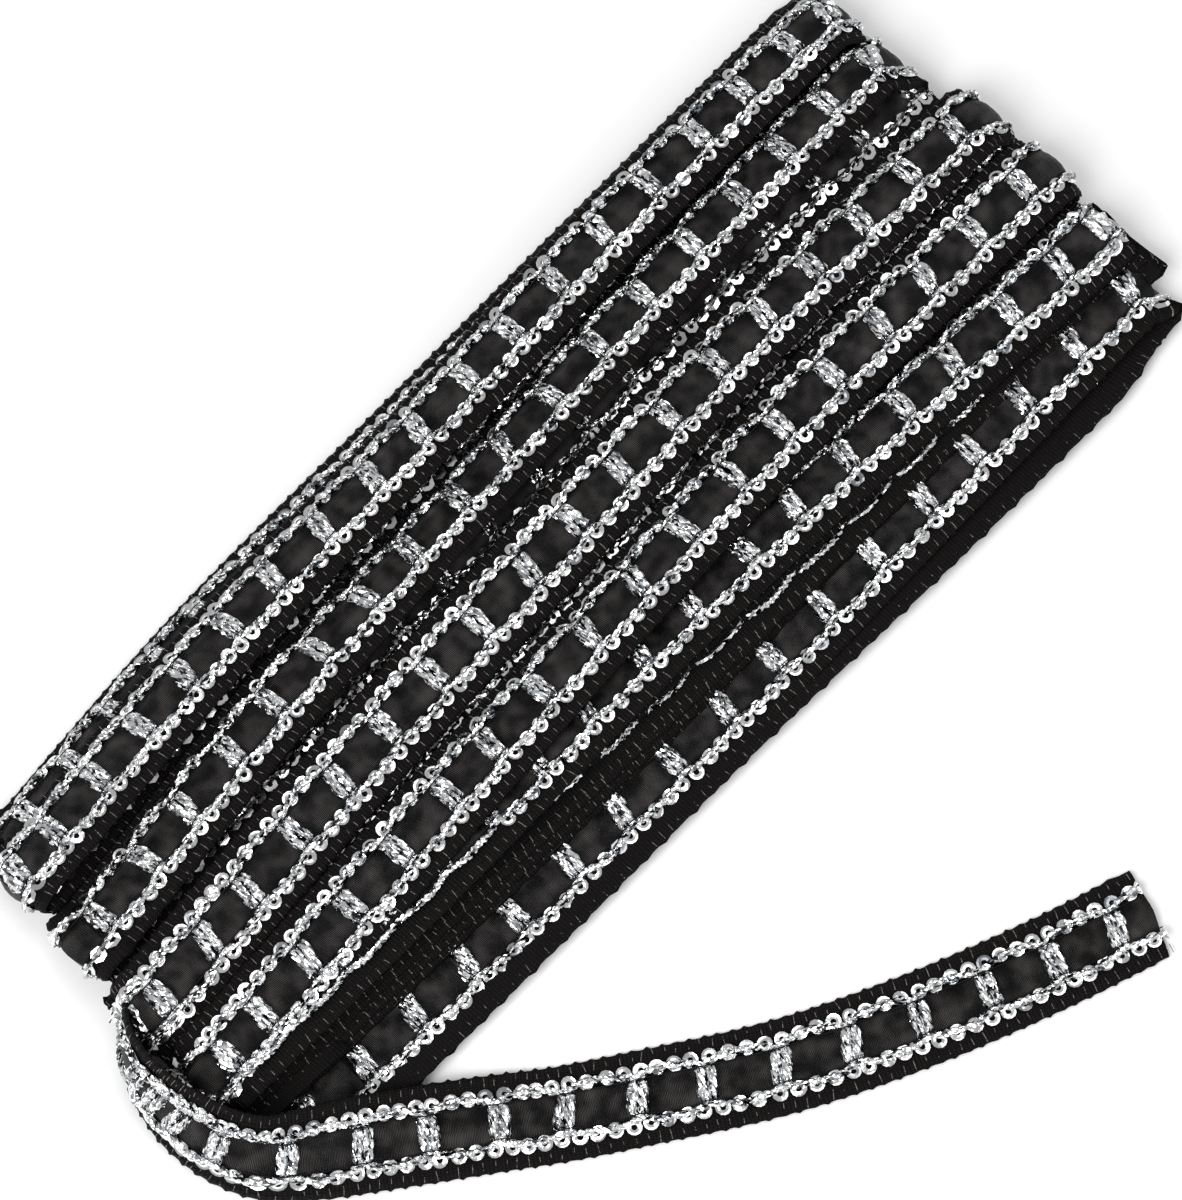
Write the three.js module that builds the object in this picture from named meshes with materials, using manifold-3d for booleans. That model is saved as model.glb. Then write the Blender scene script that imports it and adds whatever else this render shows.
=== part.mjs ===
// Black trim with silver sequins, wound into a flat hank, with one loose end on the surface.
// Millimetres, +Z up. The origin is on the surface under the middle of the hank, +X runs along
// the hank, +Y across it, and the loose end leaves the -X end and lies out towards -Y.
import * as THREE from "three";
import { mergeVertices } from "three/addons/utils/BufferGeometryUtils.js";
import Module from "manifold-3d";

const wasm = await Module();
wasm.setup();

// Driving dimensions of the trim
const trimWidth = 22.5;
const halfWidth = trimWidth / 2;
const sheetThickness = 2.2; // braid, ribbon and bars of one layer
const repeatLength = 16.5; // from one silver bar to the next
const barLength = 5.2; // of one bar, along the trim
const ribbonWidth = 10;
const pieceGap = 0.35; // between the ribbon and the braid around it

// Driving dimensions of the hank
const bendRadius = 9; // of the turns at both ends, along X
const bendHeight = 8; // the height at which a turn's end stands furthest out
const skirtHeight = 5; // how far down a top run's flanks are built
const coreBottom = 1.6;
const coreTop = 8;
const runStations = [-140, -70, 0, 70, 140]; // X of the columns y, z and roll below

// The runs seen from above, from the +Y side to the -Y side. Each has, at the five stations, the
// middle line's y, the crest's z and the roll in degrees (its +Y edge down), then its two ends.
// A single number holds at all stations.
const topRuns = [
  {
    y: [38.5, 46.5, 50.2, 55.2, 57.5],
    z: [14.5, 15.5, 15.5, 15.5, 14.5],
    roll: [24, 18, 21, 16, 20],
    from: -141,
    to: 150,
  },
  { // deep in the groove between two runs
    y: [37.5, 44.2, 47.5, 51, 52],
    z: 9.5,
    roll: 4,
    from: -139,
    to: 147,
  },
  {
    y: [16.8, 26.6, 31.8, 37.4, 41.2],
    z: [14.5, 15.5, 15.5, 15.5, 14.5],
    roll: [16, 15, 29, 20, 22],
    from: -142,
    to: 150,
  },
  { // deep in the next groove
    y: [16, 21.5, 25.8, 31.2, 32],
    z: 10,
    roll: 4,
    from: -140,
    to: 151,
  },
  {
    y: [-5.5, 2.5, 8.1, 12.5, 13.8],
    z: [16, 17, 17, 17, 15.5],
    roll: [-14, -4, -1, 14, 16],
    from: -146,
    to: 156,
  },
  { // deep in the next groove
    y: [-5, -1.5, 3.5, 9, 10],
    z: 11,
    roll: 4,
    from: -142,
    to: 154,
  },
  {
    y: [-25.5, -18.5, -13.2, -8.6, -7.2],
    z: [15, 16, 16.5, 16.5, 15.5],
    roll: [-14, 8, 18, 6, 4],
    from: -146,
    to: 157,
  },
  { // half under the run before it
    y: [-26, -25.6, -23.4, -24.5, -27],
    z: [12, 13, 13.3, 13.8, 12.8],
    roll: [6, 8, 8, 8, 0],
    from: -144,
    to: 156,
  },
  { // the stack of edges under the last run, four layers
    y: [-23.8, -24.6, -26.7, -27.2, -27.4],
    z: [11.6, 11.8, 11.8, 12.2, 11.8],
    roll: 2,
    from: -143,
    to: 155,
  },
  {
    y: [-26.2, -26.9, -28.6, -29.2, -29.4],
    z: [10.2, 10.3, 10.2, 10.8, 10.4],
    roll: 2,
    from: -142,
    to: 154,
  },
  {
    y: [-28.8, -29.4, -30.6, -31, -31],
    z: [8.9, 8.9, 8.6, 9.4, 9.2],
    roll: 2,
    from: -141,
    to: 153,
  },
  {
    y: [-31.4, -31.9, -32.4, -32, -32],
    z: [7.4, 7.4, 7.2, 8.4, 8.4],
    roll: 2,
    from: -140,
    to: 152,
  },
];
const crown = 2.0; // how far a run's edges lie under its crest
const lowestFace = 6.5; // the least z of a top run's face, so that it stays over the core

// The slack outer turn on the -Y side: its top run stands off the run under it towards +X.
const slackRun = {
  y: [-45.5, -45.8, -45.1, -43.2, -41.2],
  z: [4.8, 4.8, 5.2, 7.4, 8.8],
  roll: [0, 0, 2, 3, 4],
  from: -126,
  to: 151,
};
const slackCrown = 1.2;
const hollowFrom = 0; // X at which the slack turn starts to stand off
const hollowFull = 40;
const slackBendRadius = 7;
const slackBendHeight = 4.4;
const slackFillBottom = 0.9; // down to here the slack run is filled, where it lies on the run under it
const joinOverlap = 0.1; // how far touching runs reach into each other, so that they join

// The turn that rolls over the +Y side, as a round bead: its outermost y at the stations.
const sideRoll = {
  y: [53.2, 59.4, 62.6, 65.6, 66.6],
  radius: 5.8,
  z: 6.6,
  from: -136,
  to: 147,
};

// The runs that the hank lies on, from -Y to +Y, flat in the middle and drawn up at the edges.
const bottomRuns = [
  { // under the slack run
    y: [-46.6, -46.3, -46.3, -46.3, -44.8],
    height: sheetThickness,
    from: -124,
    to: 151,
  },
  {
    y: [-25, -24, -23, -21.5, -20.5],
    height: coreTop,
    from: -143,
    to: 155,
  },
  {
    y: [-3, -1.5, 0, 1.5, 3],
    height: coreTop,
    from: -144,
    to: 155,
  },
  {
    y: [17.5, 21, 23, 25, 26.5],
    height: coreTop,
    from: -140,
    to: 150,
  },
  {
    y: [37, 43, 46, 48.5, 50],
    height: coreTop,
    from: -138,
    to: 147,
  },
];
const bottomFlat = 5; // half the width of a bottom run's flat
const bottomLift = 1.7; // how far a bottom run's edges stand off the surface
const edgeRoom = 0.6; // keeps the slack turn's bottom run thick enough at its lifted edges
const coreReach = 1; // how far the other bottom runs reach up into the core, over bendHeight

// What fills the hank between its top and bottom runs.
const core = {
  low: [-35, -35, -36, -36, -35],
  high: [46, 52, 56, 59, 60],
  bottom: coreBottom,
  top: coreTop,
  from: -134,
  to: 144,
};

// The loose end, from where it leaves the hank to its cut: the middle line on the plan and the
// lean in degrees, 90 where it stands on its edge and 0 where it lies on its back.
const looseEnd = [
  { x: -143.9, y: 11.6, lean: 90 },
  { x: -148.4, y: 5.6, lean: 90 },
  { x: -151.0, y: -2.5, lean: 90 },
  { x: -153.6, y: -9.0, lean: 90 },
  { x: -155.5, y: -17.0, lean: 88 },
  { x: -156.0, y: -26.0, lean: 82 },
  { x: -153.0, y: -37.0, lean: 68 },
  { x: -145.8, y: -46.4, lean: 50 },
  { x: -136.8, y: -53.4, lean: 35 },
  { x: -127.2, y: -59.6, lean: 23 },
  { x: -115.2, y: -67.8, lean: 13 },
  { x: -102.0, y: -77.2, lean: 5 },
  { x: -90.0, y: -86.0, lean: 0 },
  { x: -76.0, y: -95.4, lean: 0 },
  { x: -48.0, y: -113.3, lean: 0 },
  { x: -18.0, y: -128.0, lean: 0 },
  { x: 13.0, y: -140.2, lean: 0 },
  { x: 37.7, y: -148.3, lean: 0 },
];
const firstBar = 12.0; // along the loose end, to the middle of its first bar

// Driving dimensions of the loose end's section, as heights over its back
const channelHalf = ribbonWidth / 2 + pieceGap;
const channelFloor = 0.5; // thickness of the braid under the ribbon
const selvageHeight = 1.2; // thickness of the braid beside the ribbon
const edgeHeight = 0.84; // thickness of the braid at its outer edge
const edgeRound = 2; // how far in from the edge the braid is thinner
const ribbonThickness = 0.5;
const ribbonBack = channelFloor + pieceGap;
const barThickness = 0.8;
const barBack = ribbonBack + ribbonThickness + pieceGap;
const barFace = barBack + barThickness;
const barFoot = 1.1; // width of the foot that joins a bar to the braid on each side
const shoulderDrop = 0.3; // how a bar's ends are rounded off
const shoulderWidth = 0.6;

// The value of a column at x, on a smooth line through its five stations.
function columnAt(values, x) {
  if (typeof values === "number") {
    return values;
  }
  const first = runStations[0];
  const spacing = runStations[1] - first;
  const last = values.length - 1;
  const t = THREE.MathUtils.clamp((x - first) / spacing, 0, last - 1e-6);
  const i = Math.floor(t);
  const f = t - i;
  const p1 = values[i];
  const p2 = values[i + 1];
  const p0 = i > 0 ? values[i - 1] : 2 * p1 - p2;
  const p3 = i < last - 1 ? values[i + 2] : 2 * p2 - p1;
  return 0.5 * (2 * p1 + (p2 - p0) * f + (2 * p0 - 5 * p1 + 4 * p2 - p3) * f * f
    + (3 * p1 - p0 - 3 * p2 + p3) * f * f * f);
}

// How much of its full height a turn keeps at x: 1 along the run, falling in an arc at both ends.
function bendShare(x, run, radius) {
  const past = Math.max(run.from + radius - x, x - (run.to - radius), 0) / radius;
  return Math.sqrt(Math.max(0, 1 - Math.min(past, 1) ** 2));
}

// The X of a run's sections: close together round both bends, wide apart between them.
function sectionPlaces(run, radius) {
  const arcSteps = 5;
  const arc = [];
  for (let i = 0; i <= arcSteps; i++) {
    arc.push(radius * (1 - Math.cos((i / arcSteps) * (Math.PI / 2))));
  }
  const middleSteps = 9;
  const inner = [];
  for (let i = 1; i < middleSteps; i++) {
    inner.push(THREE.MathUtils.lerp(run.from + radius, run.to - radius, i / middleSteps));
  }
  return [...arc.map((d) => run.from + d), ...inner, ...arc.reverse().map((d) => run.to - d)];
}

// A closed solid from rings of points, all rings alike in count and order.
function solidFromRings(rings, capOutline) {
  const count = rings[0].length;
  const positions = rings.flat().flatMap((p) => [p.x, p.y, p.z]);
  const index = [];
  for (let r = 0; r < rings.length - 1; r++) {
    for (let i = 0; i < count; i++) {
      const a = r * count + i;
      const b = r * count + ((i + 1) % count);
      index.push(a, b, b + count, a, b + count, a + count);
    }
  }
  const cap = THREE.ShapeUtils.triangulateShape(capOutline, []);
  const capTurns = Math.sign(THREE.ShapeUtils.area(cap[0].map((i) => capOutline[i])));
  const follows = capTurns === Math.sign(THREE.ShapeUtils.area(capOutline));
  const last = (rings.length - 1) * count;
  for (const [a, b, c] of cap.map((face) => (follows ? face : face.reverse()))) {
    index.push(c, b, a);
    index.push(last + a, last + b, last + c);
  }
  const geometry = new THREE.BufferGeometry();
  geometry.setAttribute("position", new THREE.Float32BufferAttribute(positions, 3));
  geometry.setIndex(index);
  return toManifold(geometry);
}

// The solid inside a closed geometry, turned the right way out.
function toManifold(geometry) {
  const merged = mergeVertices(geometry, 1e-4);
  const triVerts = new Uint32Array(merged.index.array);
  const vertProperties = merged.attributes.position.array;
  const made = new wasm.Manifold(new wasm.Mesh({ numProp: 3, vertProperties, triVerts }));
  if (made.volume() > 0) {
    return made;
  }
  for (let i = 0; i < triVerts.length; i += 3) {
    [triVerts[i + 1], triVerts[i + 2]] = [triVerts[i + 2], triVerts[i + 1]];
  }
  return new wasm.Manifold(new wasm.Mesh({ numProp: 3, vertProperties, triVerts }));
}

// A solid as a named mesh.
function toMesh(solid, name, colour, roughness, metalness) {
  const { vertProperties, triVerts, numProp } = solid.getMesh();
  const positions = new Float32Array((vertProperties.length / numProp) * 3);
  for (let i = 0; i < positions.length / 3; i++) {
    positions.set(vertProperties.subarray(i * numProp, i * numProp + 3), i * 3);
  }
  const geometry = new THREE.BufferGeometry();
  geometry.setAttribute("position", new THREE.BufferAttribute(positions, 3));
  geometry.setIndex(new THREE.BufferAttribute(triVerts, 1));
  geometry.computeVertexNormals();
  const material = new THREE.MeshStandardMaterial({ color: colour, roughness, metalness });
  const mesh = new THREE.Mesh(geometry, material);
  mesh.name = name;
  return mesh;
}

// A point on a run's face at x, a distance across from its middle line.
function facePoint(run, x, across, edgeDrop) {
  const roll = THREE.MathUtils.degToRad(columnAt(run.roll, x));
  const drop = -edgeDrop * (across / halfWidth) ** 2;
  return {
    y: columnAt(run.y, x) + across * Math.cos(roll) + drop * Math.sin(roll),
    z: columnAt(run.z, x) - across * Math.sin(roll) + drop * Math.cos(roll),
  };
}

const acrossPlaces = [-1, -0.8, -0.5, 0, 0.5, 0.8, 1].map((share) => share * halfWidth);

// Sweeps an outline of [y, z] pairs, which outlineAt gives at each x, along X.
function sweep(places, outlineAt) {
  const outlines = places.map(outlineAt);
  const rings = outlines.map((outline, i) => {
    return outline.map(([y, z]) => new THREE.Vector3(places[i], y, z));
  });
  return solidFromRings(rings, outlines[0].map(([y, z]) => new THREE.Vector2(y, z)));
}

const leastShare = 0.12; // keeps the last section of a bend from closing to a line

// One top run: crowned face, rolled as it lies, with straight flanks down into the core.
function topRunSolid(run) {
  return sweep(sectionPlaces(run, bendRadius), (x) => {
    const share = Math.max(bendShare(x, run, bendRadius), leastShare);
    const face = acrossPlaces.map((across) => {
      const p = facePoint(run, x, across, crown);
      return [p.y, bendHeight + (Math.max(p.z, lowestFace) - bendHeight) * share];
    });
    const skirt = bendHeight - (bendHeight - skirtHeight) * share;
    return [...face, [face.at(-1)[0], skirt], [face[0][0], skirt]];
  });
}

// The slack turn's top run: a sheet that lies on the run under it and stands off towards +X.
function slackRunSolid() {
  return sweep(sectionPlaces(slackRun, slackBendRadius), (x) => {
    const share = Math.max(bendShare(x, slackRun, slackBendRadius), leastShare);
    const innerRadius = slackBendRadius - sheetThickness;
    const innerRun = { from: slackRun.from, to: slackRun.to - sheetThickness };
    const innerShare = bendShare(x, innerRun, innerRadius);
    const stand = THREE.MathUtils.smoothstep(x, hollowFrom, hollowFull);
    const face = acrossPlaces.map((across) => {
      const p = facePoint(slackRun, x, across, slackCrown);
      return [p.y, slackBendHeight + (p.z - slackBendHeight) * share];
    });
    const back = acrossPlaces.map((across) => {
      const p = facePoint(slackRun, x, across, slackCrown);
      const under = p.z - sheetThickness;
      const bent = slackBendHeight + (under - slackBendHeight) * innerShare;
      const standing = Math.min(bent, under) - joinOverlap;
      return [p.y, THREE.MathUtils.lerp(slackFillBottom, standing, stand)];
    });
    return [...face, ...back.reverse()];
  });
}

// One run under the hank: flat in the middle, its edges a little off the surface.
function bottomRunSolid(run) {
  const thin = run.height < bendHeight;
  const radius = thin ? slackBendRadius : bendRadius;
  const level = thin ? slackBendHeight : bendHeight;
  return sweep(sectionPlaces(run, radius), (x) => {
    const share = Math.max(bendShare(x, run, radius), leastShare);
    const middle = columnAt(run.y, x);
    const under = [-halfWidth, -bottomFlat, bottomFlat, halfWidth].map((across) => {
      const z = Math.abs(across) > bottomFlat ? bottomLift : 0;
      return [middle + across, level - (level - z) * share];
    });
    const innerRun = { from: run.from + sheetThickness, to: run.to - sheetThickness };
    const innerShare = bendShare(x, innerRun, radius - sheetThickness);
    const thinTop = level - (level - run.height - edgeRoom) * innerShare + joinOverlap;
    const top = thin ? thinTop : level + coreReach;
    return [...under, [middle + halfWidth, top], [middle - halfWidth, top]];
  });
}

// The turn that rolls over the +Y side.
function sideRollSolid() {
  const sides = 14;
  return sweep(sectionPlaces(sideRoll, bendRadius), (x) => {
    const share = Math.max(bendShare(x, sideRoll, bendRadius), leastShare);
    const outline = [];
    for (let i = 0; i < sides; i++) {
      const angle = (i / sides) * Math.PI * 2;
      outline.push([
        columnAt(sideRoll.y, x) + sideRoll.radius * (Math.cos(angle) - 1),
        sideRoll.z + sideRoll.radius * Math.sin(angle) * share,
      ]);
    }
    return outline;
  });
}

// The filling between the top and bottom runs.
function coreSolid() {
  return sweep([core.from, ...runStations.slice(1, -1), core.to], (x) => {
    const low = columnAt(core.low, x);
    const high = columnAt(core.high, x);
    return [[low, core.bottom], [high, core.bottom], [high, core.top], [low, core.top]];
  });
}

function hankSolid() {
  const parts = [
    coreSolid(),
    ...topRuns.map(topRunSolid),
    ...bottomRuns.map(bottomRunSolid),
    slackRunSolid(),
    sideRollSolid(),
  ];
  return parts.reduce((whole, part) => whole.add(part));
}

// The loose end's middle line, with the lean carried in z, as one smooth curve.
const loosePath = new THREE.CatmullRomCurve3(
  looseEnd.map((row) => new THREE.Vector3(row.x, row.y, row.lean)),
  false,
  "centripetal",
);

// A lookup of the curve by real length on the plan.
const looseTable = (() => {
  const samples = 600;
  const table = [{ u: 0, length: 0 }];
  let before = loosePath.getPoint(0);
  for (let i = 1; i <= samples; i++) {
    const point = loosePath.getPoint(i / samples);
    const length = table.at(-1).length + Math.hypot(point.x - before.x, point.y - before.y);
    table.push({ u: i / samples, length });
    before = point;
  }
  return table;
})();
const looseLength = looseTable.at(-1).length;

// The middle of the back, the way across and the way that the face looks, at a length along.
function looseAt(length) {
  const i = Math.max(1, looseTable.findIndex((row) => row.length >= length - 1e-9));
  const a = looseTable[i - 1];
  const b = looseTable[i];
  const u = THREE.MathUtils.mapLinear(length, a.length, b.length, a.u, b.u);
  const point = loosePath.getPoint(u);
  const tangent = loosePath.getTangent(Math.min(Math.max(u, 1e-4), 1 - 1e-4));
  const along = new THREE.Vector3(tangent.x, tangent.y, 0).normalize();
  const lean = THREE.MathUtils.degToRad(Math.max(point.z, 0));
  const left = new THREE.Vector3(-along.y, along.x, 0);
  const across = left.multiplyScalar(Math.cos(lean)).add(new THREE.Vector3(0, 0, Math.sin(lean)));
  const face = new THREE.Vector3().crossVectors(along, across);
  const middle = new THREE.Vector3(point.x, point.y, halfWidth * Math.sin(lean));
  return { middle, across, face };
}

// Sweeps a section of [across, height over the back] pairs through places on the loose end.
function looseSweep(places, section) {
  const rings = places.map((place) => {
    const { middle, across, face } = looseAt(place);
    return section.map(([a, h]) => middle.clone().addScaledVector(across, a).addScaledVector(face, h));
  });
  return solidFromRings(rings, section.map(([a, h]) => new THREE.Vector2(a, h)));
}

// The bars' middles, and the places that braid, ribbon and bars all have their sections at.
const barMiddles = [];
for (let at = firstBar; at + barLength / 2 < looseLength; at += repeatLength) {
  barMiddles.push(at);
}
const barPlaces = (middle) => [middle - barLength / 2, middle, middle + barLength / 2];
const windowSteps = 4;
const loosePlaces = [0];
for (const stop of [...barMiddles.flatMap(barPlaces), looseLength]) {
  const before = loosePlaces.at(-1);
  const steps = stop - before > barLength ? windowSteps : 1;
  for (let i = 1; i <= steps; i++) {
    loosePlaces.push(THREE.MathUtils.lerp(before, stop, i / steps));
  }
}

// The loose end's braid, with a channel that the ribbon lies in and a bar over it at each repeat.
function looseBraidSolid() {
  const base = looseSweep(loosePlaces, [
    [-halfWidth, 0],
    [halfWidth, 0],
    [halfWidth, edgeHeight],
    [halfWidth - edgeRound, selvageHeight],
    [channelHalf, selvageHeight],
    [channelHalf, channelFloor],
    [0, channelFloor],
    [-channelHalf, channelFloor],
    [-channelHalf, selvageHeight],
    [-halfWidth + edgeRound, selvageHeight],
    [-halfWidth, edgeHeight],
  ]);
  const foot = channelHalf + barFoot;
  const barSection = [
    [-foot, channelFloor],
    [-channelHalf, channelFloor],
    [-channelHalf, barBack],
    [0, barBack],
    [channelHalf, barBack],
    [channelHalf, channelFloor],
    [foot, channelFloor],
    [foot, barFace - shoulderDrop],
    [channelHalf - shoulderWidth, barFace],
    [-channelHalf + shoulderWidth, barFace],
    [-foot, barFace - shoulderDrop],
  ];
  const bars = barMiddles.map((middle) => looseSweep(barPlaces(middle), barSection));
  return bars.reduce((braid, bar) => braid.add(bar), base);
}

// The loose end's ribbon, in the channel and under the bars.
function looseRibbonSolid() {
  return looseSweep(loosePlaces, [
    [-ribbonWidth / 2, ribbonBack],
    [0, ribbonBack],
    [ribbonWidth / 2, ribbonBack],
    [ribbonWidth / 2, ribbonBack + ribbonThickness],
    [0, ribbonBack + ribbonThickness],
    [-ribbonWidth / 2, ribbonBack + ribbonThickness],
  ]);
}

const sequinTrim = new THREE.Group();
sequinTrim.name = "sequin_trim";
sequinTrim.add(
  toMesh(hankSolid(), "hank", 0x1a1a1c, 0.85, 0),
  toMesh(looseBraidSolid(), "loose_end_braid", 0x1c1c1e, 0.85, 0),
  toMesh(looseRibbonSolid(), "loose_end_ribbon", 0x111113, 0.4, 0),
);

export default sequinTrim;
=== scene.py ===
import math

import bpy
import numpy as np
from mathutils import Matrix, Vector


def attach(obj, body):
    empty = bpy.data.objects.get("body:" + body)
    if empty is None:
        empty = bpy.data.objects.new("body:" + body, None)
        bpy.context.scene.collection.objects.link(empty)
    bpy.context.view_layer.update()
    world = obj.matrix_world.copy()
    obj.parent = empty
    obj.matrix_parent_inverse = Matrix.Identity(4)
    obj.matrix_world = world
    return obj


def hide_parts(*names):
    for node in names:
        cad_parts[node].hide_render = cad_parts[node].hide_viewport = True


# Black braid trim with silver sequins and a woven-in satin ribbon, wound into a flat hank.
# The tables are in millimetres and the meshes in metres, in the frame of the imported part.
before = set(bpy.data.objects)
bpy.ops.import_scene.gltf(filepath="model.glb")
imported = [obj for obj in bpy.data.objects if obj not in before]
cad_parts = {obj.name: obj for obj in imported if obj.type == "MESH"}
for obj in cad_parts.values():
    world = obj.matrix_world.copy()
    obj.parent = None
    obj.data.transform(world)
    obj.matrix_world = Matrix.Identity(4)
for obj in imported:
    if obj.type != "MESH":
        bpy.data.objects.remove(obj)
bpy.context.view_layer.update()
rng = np.random.default_rng(23)
mm = 0.001


camera = {
    "azimuth": -45.5,      # degrees round the hank, 0 looks along +Y
    "elevation": 70,       # degrees over the surface
    "distance": 1.3,
    "lookAt": (0, -0.006, 0.008),
    "lens": 168.9,
}


def addCamera():
    data = bpy.data.cameras.new("studio_camera")
    data.lens = camera["lens"]
    data.sensor_width = 36
    turn, rise = math.radians(camera["azimuth"]), math.radians(camera["elevation"])
    back = Vector((math.sin(turn) * math.cos(rise), -math.cos(turn) * math.cos(rise), math.sin(rise)))
    cam = bpy.data.objects.new("studio_camera", data)
    cam.location = Vector(camera["lookAt"]) + back * camera["distance"]
    cam.rotation_mode = "QUATERNION"
    cam.rotation_quaternion = (-back).to_track_quat("-Z", "Y")
    bpy.context.scene.collection.objects.link(cam)
    bpy.context.scene.camera = cam


addCamera()
print("camera placed")


def linear(code):
    parts = [int(code[i:i + 2], 16) / 255 for i in (1, 3, 5)]
    return (*[p / 12.92 if p <= 0.04045 else ((p + 0.055) / 1.055) ** 2.4 for p in parts], 1)


def addNode(tree, kind, settings=None, links=None, stops=()):
    node = tree.nodes.new(kind)
    for number, (place, code) in enumerate(stops):
        ramp = node.color_ramp.elements
        element = ramp[number] if number < 2 else ramp.new(place)
        element.position = place
        element.color = linear(code)
    for key, value in (settings or {}).items():
        if isinstance(key, int) or key in node.inputs:
            node.inputs[key].default_value = value
        else:
            setattr(node, key, value)
    for key, source in (links or {}).items():
        tree.links.new(source, node.inputs[key])
    return node


def newMaterial(name):
    material = bpy.data.materials.new(name)
    material.use_nodes = True
    tree = material.node_tree
    tree.nodes.clear()
    return material, tree


def finishMaterial(tree, settings, colour=None, normal=None):
    links = {"Base Color": colour, "Normal": normal} if colour else {}
    shader = addNode(tree, "ShaderNodeBsdfPrincipled", settings, links)
    addNode(tree, "ShaderNodeOutputMaterial", links={"Surface": shader.outputs["BSDF"]})


# the meshes carry trimPlace: mm along the trim, mm across it and a random number for each small part;
# a wave texture of scale 1 repeats every 0.314, so its scale there is wavePitch over the pitch in mm
wavePitch = 0.314

braidFinish = {
    # the first colour is painted shade for the hollows between the cords, the second is the yarn's own colour
    "shadedHollow": "#050404",
    "yarn": "#221d1b",
    "ridgePitch": 0.62,   # mm between the cords that run along the selvage
    "pickPitch": 0.92,    # mm between the wefts that cross them
    "fuzz": 1400,         # a metre, for tufts of about 0.7 mm
    "fuzzShare": 0.3,     # of the fuzz in the relief
    "roughness": 0.8,
    "shine": 0.14,        # fibres shade each other, so that little of it is left
}


def polyesterBraid():
    # spun polyester yarn, woven: matt, almost black, its cords catch a little light between hollows that are
    # coloured darker as painted shade
    material, tree = newMaterial("spun polyester braid, woven")
    place = addNode(tree, "ShaderNodeAttribute", {"attribute_name": "trimPlace"})
    onTrim = {"Vector": place.outputs["Vector"]}
    ridges = addNode(tree, "ShaderNodeTexWave",
                     {"bands_direction": "Y", "Scale": wavePitch / braidFinish["ridgePitch"], "Distortion": 1.6,
                      "Detail": 1, "Detail Scale": 2}, onTrim)
    picks = addNode(tree, "ShaderNodeTexWave",
                    {"bands_direction": "X", "Scale": wavePitch / braidFinish["pickPitch"], "Distortion": 2.2,
                     "Detail": 1, "Detail Scale": 2}, onTrim)
    weave = addNode(tree, "ShaderNodeMath", {"operation": "MULTIPLY"},
                    {0: ridges.outputs["Fac"], 1: picks.outputs["Fac"]})
    spot = addNode(tree, "ShaderNodeTexCoord")
    fuzz = addNode(tree, "ShaderNodeTexNoise", {"Scale": braidFinish["fuzz"], "Detail": 3},
                   {"Vector": spot.outputs["Object"]})
    # painted shade: the colour is darker where the weave's hollows fall
    hollowShade = addNode(tree, "ShaderNodeMath", {"operation": "MULTIPLY"},
                    {0: weave.outputs[0], 1: fuzz.outputs["Fac"]})
    colour = addNode(tree, "ShaderNodeValToRGB", links={"Fac": hollowShade.outputs[0]},
                     stops=[(0.03, braidFinish["shadedHollow"]), (0.4, braidFinish["yarn"])])
    relief = addNode(tree, "ShaderNodeMath", {"operation": "MULTIPLY_ADD", 1: braidFinish["fuzzShare"]},
                     {0: fuzz.outputs["Fac"], 2: weave.outputs[0]})
    bump = addNode(tree, "ShaderNodeBump", {"Strength": 1, "Distance": 0.00035}, {"Height": relief.outputs[0]})
    finishMaterial(tree, {"Roughness": braidFinish["roughness"], "Specular IOR Level": braidFinish["shine"]},
                   colour.outputs["Color"], bump.outputs["Normal"])
    return material


satinFinish = {
    # the darkest stop is painted shade, the middle one the ribbon's own black and the lightest a painted sheen
    "deep": "#030303",
    "dyed": "#0c0b0b",
    "lit": "#4a4746",
    "ribPitch": 0.36,     # mm; the real ribs are finer, and drawn as coarse as they need to show
    "cloud": 0.2,         # a mm, for clouds of painted sheen and painted shade of about 5 mm
    "grain": 3.4,         # a mm, for grains of about 0.3 mm
    "fineShare": 0.9,     # of ribs and grain against the clouds
    "roughness": 0.42,
    "shine": 0.14,        # less than that of a bare filament, because the floats are dyed black through
}


def satinRibbon():
    # polyester satin ribbon, woven with long floats: black, with painted sheen and painted shade in clouds,
    # broken up by faint cross ribs
    material, tree = newMaterial("polyester satin ribbon, woven")
    place = addNode(tree, "ShaderNodeAttribute", {"attribute_name": "trimPlace"})
    onTrim = {"Vector": place.outputs["Vector"]}
    cloud = addNode(tree, "ShaderNodeTexNoise", {"Scale": satinFinish["cloud"], "Detail": 1, "Roughness": 0.5},
                    onTrim)
    ribs = addNode(tree, "ShaderNodeTexWave",
                   {"bands_direction": "X", "Scale": wavePitch / satinFinish["ribPitch"], "Distortion": 6.0,
                    "Detail": 2, "Detail Scale": 0.5}, onTrim)
    grain = addNode(tree, "ShaderNodeTexNoise", {"Scale": satinFinish["grain"], "Detail": 2, "Roughness": 0.8},
                    onTrim)
    fine = addNode(tree, "ShaderNodeMath", {"operation": "MULTIPLY"},
                   {0: ribs.outputs["Fac"], 1: grain.outputs["Fac"]})
    # painted sheen and painted shade: clouds, ribs and grain mixed into one tone
    sheenAndShade = addNode(tree, "ShaderNodeMath", {"operation": "MULTIPLY_ADD", 1: satinFinish["fineShare"]},
                    {0: fine.outputs[0], 2: cloud.outputs["Fac"]})
    colour = addNode(tree, "ShaderNodeValToRGB", links={"Fac": sheenAndShade.outputs[0]},
                     stops=[(0.5, satinFinish["deep"]), (0.75, satinFinish["dyed"]), (1.0, satinFinish["lit"])])
    bump = addNode(tree, "ShaderNodeBump", {"Strength": 1, "Distance": 0.0003}, {"Height": fine.outputs[0]})
    finishMaterial(tree, {"Roughness": satinFinish["roughness"], "Specular IOR Level": satinFinish["shine"]},
                   colour.outputs["Color"], bump.outputs["Normal"])
    return material


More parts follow.
